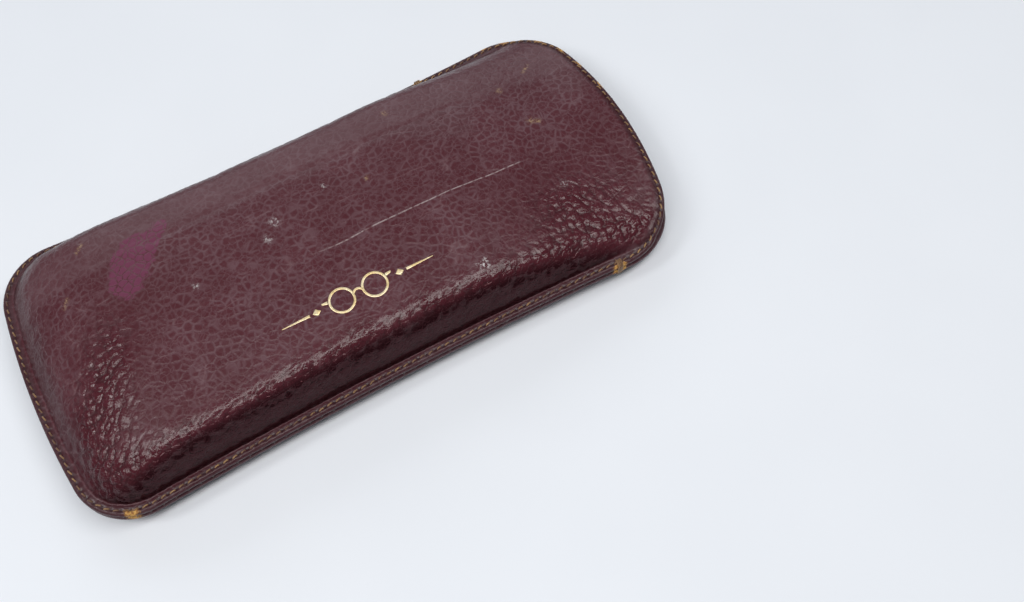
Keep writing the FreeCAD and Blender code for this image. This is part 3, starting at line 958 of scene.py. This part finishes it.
def burgundy_leather(name, aged):
    """Pebbled oxblood leather: dark red pebble tops, paler veins, worn lip, old marks."""
    n = Nodes(name)
    grain, proud = n.mask("grain"), n.mask("proud")
    flat = n.math("SUBTRACT", 1.0, proud, clamp=True)
    patches = n.noise(14.0, 3.0)
    speckle = n.noise(0.5, 4.0)
    pebbles = n.cells(2.05, 0.5)
    small = n.cells(1.35, 0.45)
    long_veins = n.cells(6.5, 1.2, (0.38, 1, 1))
    colour = n.mix(n.ramp(patches, 0.35, 0.68), PEBBLE_DARK, PEBBLE_LIGHT)
    colour = n.mix(n.ramp(speckle, 0.56, 0.76, 0.0, 0.4), colour, PEBBLE_SPECKLE)
    broken = n.ramp(n.noise(2.6, 3.0), 0.36, 0.62, 0.15, 1.0)
    strong = n.ramp(patches, 0.30, 0.62, 0.5, 1.0)
    vein = n.math("MULTIPLY", n.ramp(pebbles, 0.24, 0.0), strong)
    unbroken = n.math("SUBTRACT", 1.15, broken, clamp=True)
    wrinkle = n.math("MULTIPLY", n.ramp(small, 0.12, 0.0), unbroken)
    vein = n.math("MULTIPLY", vein, broken)
    vein = n.math("ADD", vein, n.math("MULTIPLY", wrinkle, 0.6), clamp=True)
    vein = n.math("MULTIPLY", vein, n.math("MULTIPLY", flat, 0.80))
    colour = n.mix(vein, colour, VEIN)
    here_and_there = n.ramp(n.noise(7.0, 3.0), 0.50, 0.62)
    long_vein = n.math("MULTIPLY", n.ramp(long_veins, 0.028, 0.0), here_and_there)
    colour = n.mix(n.math("MULTIPLY", long_vein, 0.42), colour, LONG_VEIN)
    # Painted sheen: the far band of the front is lightened towards a pale grey-red
    colour = n.mix(n.math("MULTIPLY", n.mask("far_band_sheen"), 0.32), colour, FAR_BAND_SHEEN)
    # Painted shade: the creases between raised pebbles and in folds are darkened
    crease = n.math("MULTIPLY", n.ramp(grain, 0.40, 0.02), n.math("MULTIPLY", proud, 0.5))
    colour = n.mix(crease, colour, GRAIN_CREASE_SHADE)
    colour = n.mix(n.math("MULTIPLY", n.mask("lip"), 0.55), colour, LIP_LEATHER)
    # Painted shade: the steep walls are darkened as if turned away from the light
    wall = n.mask("wall")
    colour = n.mix(n.math("MULTIPLY", wall, 0.9), colour, WALL_PAINTED_SHADE)
    n.link(n.math("MULTIPLY", wall, WALL_METALLIC), n.shader.inputs["Metallic"])
    if aged:
        colour = worn_marks(n, colour, pebbles)
    grit = n.math("MULTIPLY", n.noise(0.55, 5.0, rough=0.75), 0.9)
    bare = n.ramp(n.math("ADD", n.mask("bare"), grit), 0.86, 1.06)
    colour = n.mix(bare, colour, n.mix(n.ramp(speckle, 0.35, 0.65), BARE_DARK, BARE_LIGHT))
    colour = n.mix(n.math("MULTIPLY", n.mask("hole"), 0.85), colour, STITCH_HOLE_SHADE)
    polish = n.ramp(n.noise(5.0, 3.0), 0.3, 0.7, -0.04, 0.07)
    rough = n.math("ADD", n.ramp(proud, 0.0, 1.0, 0.43, 0.22), polish)
    rough = n.math("ADD", rough, n.math("MULTIPLY", crease, 0.15))
    rough = n.math("ADD", rough, n.math("MULTIPLY", bare, 0.3), clamp=True)
    pores = n.bump(n.noise(0.22, 3.0), 0.03, 0.4)
    wrinkled = n.math("MULTIPLY", n.ramp(small, 0.0, 0.2), n.ramp(proud, 0.0, 1.0, 0.22, 1.0))
    tiny = n.bump(wrinkled, 0.075, 0.8, pores)
    pebbled = n.bump(n.math("MULTIPLY", n.ramp(pebbles, 0.0, 0.22), flat), 0.10, 0.75, tiny)
    veined = n.bump(n.ramp(long_veins, 0.0, 0.06), 0.05, 0.6, pebbled)
    return n.finish(colour, rough, veined, Coat_Weight=0.20, Coat_Roughness=0.10,
                    Specular_IOR_Level=0.30)


def cloth(name, colour_low, colour_high):
    """Short-pile velveteen."""
    n = Nodes(name)
    nap = n.noise(6.0, 4.0, (0.4, 1, 1))
    pile = n.noise(0.28, 3.0)
    colour = n.mix(n.ramp(nap, 0.35, 0.65), colour_low, colour_high)
    colour = n.mix(n.ramp(pile, 0.45, 0.75, 0, 0.5), colour, tuple(c * 0.45 for c in colour_low))
    return n.finish(colour, 0.95, n.bump(pile, 0.12, 0.8), Sheen_Weight=0.45, Sheen_Roughness=0.35)


def smooth_leather(name):
    """Thin smooth skin for the facings inside the mouth."""
    n = Nodes(name)
    tone = n.noise(7.0, 4.0)
    colour = n.mix(n.ramp(tone, 0.35, 0.68), (0.060, 0.012, 0.016), (0.095, 0.024, 0.028))
    hair = n.bump(n.cells(0.42), 0.03, 0.5)
    rough = n.ramp(tone, 0.3, 0.7, 0.42, 0.58)
    return n.finish(colour, rough, hair, Coat_Weight=0.1, Coat_Roughness=0.35)


def thread(name, light, dark):
    """Waxed linen thread, grimy in places."""
    n = Nodes(name)
    grime = n.noise(9.0, 4.0)
    fibre = n.noise(0.16, 3.0)
    colour = n.mix(n.ramp(grime, 0.34, 0.62), light, dark)
    colour = n.mix(n.ramp(fibre, 0.5, 0.75, 0, 0.6), colour, tuple(c * 0.35 for c in dark))
    return n.finish(colour, 0.62, n.bump(fibre, 0.05, 0.8), Sheen_Weight=0.15)


def gold_foil(name):
    """Hot-blocked gilt film, thin and broken where the grain is deep."""
    n = Nodes(name)
    wear = n.noise(0.75, 5.0, rough=0.7)
    broken = n.ramp(wear, 0.63, 0.69)
    colour = n.mix(n.ramp(n.noise(2.5, 3.0), 0.35, 0.65), (0.86, 0.66, 0.34), (0.98, 0.84, 0.56))
    colour = n.mix(broken, colour, (0.10, 0.03, 0.03))
    metal = n.math("SUBTRACT", 0.75, n.math("MULTIPLY", broken, 0.75), clamp=True)
    n.link(metal, n.shader.inputs["Metallic"])
    return n.finish(colour, n.ramp(wear, 0.3, 0.7, 0.34, 0.6), n.bump(wear, 0.03, 0.5))


def fibreboard(name):
    """Pressed board of the hidden stiffeners."""
    n = Nodes(name)
    flakes = n.noise(1.2, 5.0, (0.3, 1, 1))
    colour = n.mix(n.ramp(flakes, 0.3, 0.7), (0.16, 0.12, 0.08), (0.34, 0.27, 0.19))
    return n.finish(colour, 0.9, n.bump(flakes, 0.12, 0.6))


# ---------------------------------------------------------------- stage

FLOOR_REACH = 3.0
FLOOR_STEPS = 12


def studio_floor():
    axis = np.linspace(-FLOOR_REACH, FLOOR_REACH, FLOOR_STEPS)
    vertices = [(x, y, 0.0) for x in axis for y in axis]
    faces = grid_faces(FLOOR_STEPS, FLOOR_STEPS, True).tolist()
    n = Nodes("pale_paper")
    tone = n.noise(60.0, 2.0)
    colour = n.mix(n.ramp(tone, 0.3, 0.7), (0.800, 0.835, 0.885), (0.815, 0.850, 0.900))
    paper = n.finish(colour, 0.75, n.bump(n.noise(0.6, 2.0), 0.01, 0.3))
    floor = mesh_object("studio_floor", vertices, faces, paper)
    floor.location.z = -0.0001


def aim(thing, target):
    direction = Vector(target) - thing.location
    thing.rotation_euler = direction.to_track_quat("-Z", "Y").to_euler()


def area_light(name, position, target, size, power, colour):
    light = bpy.data.lights.new(name, "AREA")
    light.shape = "RECTANGLE"
    light.size, light.size_y = size
    light.energy = power
    light.color = colour
    lamp = bpy.data.objects.new(name, light)
    bpy.context.scene.collection.objects.link(lamp)
    lamp.location = position
    aim(lamp, target)


# Millimetres and degrees
CAMERA_PLACE = (-24.88, -145.38, SEAM_Z + 257.96)
CAMERA_AZIMUTH = math.radians(27.24)
CAMERA_ELEVATION = math.radians(64.03)
CAMERA_ROLL = math.radians(-2.23)
CAMERA_LENS = 39.71
CAMERA_SHIFT = (-0.0046, -0.0012)


def camera():
    data = bpy.data.cameras.new("camera")
    data.sensor_width = 36.0
    data.lens = CAMERA_LENS
    data.clip_start = 0.01
    data.shift_x, data.shift_y = CAMERA_SHIFT
    eye = bpy.data.objects.new("camera", data)
    bpy.context.scene.collection.objects.link(eye)
    eye.location = [c * MM for c in CAMERA_PLACE]
    turn = Euler((math.pi / 2 - CAMERA_ELEVATION, 0.0, -CAMERA_AZIMUTH)).to_matrix()
    eye.rotation_euler = (turn @ Matrix.Rotation(CAMERA_ROLL, 3, "Z")).to_euler()
    bpy.context.scene.camera = eye


def studio():
    world = bpy.data.worlds.new("studio")
    bpy.context.scene.world = world
    world.use_nodes = True
    background = world.node_tree.nodes["Background"]
    background.inputs["Color"].default_value = (0.80, 0.86, 0.95, 1)
    background.inputs["Strength"].default_value = 0.16
    area_light("overhead_softbox", (0.02, -0.20, 0.72), (0, 0, 0), (1.15, 0.20), 5.0,
               (1.0, 0.98, 0.96))
    area_light("closed_end_strip", (-0.52, 0.07, 0.66), (-0.04, 0, 0), (0.16, 0.32), 1.5,
               (1.0, 0.99, 0.98))
    area_light("far_fill", (0.10, 0.85, 0.55), (0, 0, 0), (1.0, 0.45), 2.2, (0.92, 0.96, 1.0))
    bpy.context.scene.view_settings.view_transform = "Standard"


# ---------------------------------------------------------------- the case

aged_leather = burgundy_leather("aged_burgundy_leather", True)
plain_leather = burgundy_leather("burgundy_leather", False)
leather_cover("front", aged_leather)
leather_cover("back", plain_leather)
velveteen = cloth("wine_velveteen", (0.070, 0.014, 0.020), (0.130, 0.030, 0.040))
skiver = smooth_leather("smooth_skiver")
tan_thread = thread("tan_linen_thread", (0.36, 0.21, 0.085), (0.12, 0.055, 0.030))
dark_thread = thread("dark_linen_thread", (0.050, 0.018, 0.014), (0.022, 0.008, 0.007))
for half_name in HALVES:
    lining(half_name, velveteen)
    facing(half_name, skiver)
    lip_stitches(half_name, tan_thread)
ladder_stitches(dark_thread)
bar_tack("near_bar_tack_thread", NEAR_SEAM_END, -1, 3, tan_thread, "near_bar_tack")
bar_tack("far_bar_tack_thread", FAR_SEAM_END, 1, 3, tan_thread, "far_bar_tack")
foil_ornament(gold_foil("gilt_foil"))
board = fibreboard("moulded_fibreboard")
for half_name in HALVES:
    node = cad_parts[half_name + "_stiffener"]
    node.data.materials.clear()
    node.data.materials.append(board)

studio_floor()
studio()
camera()
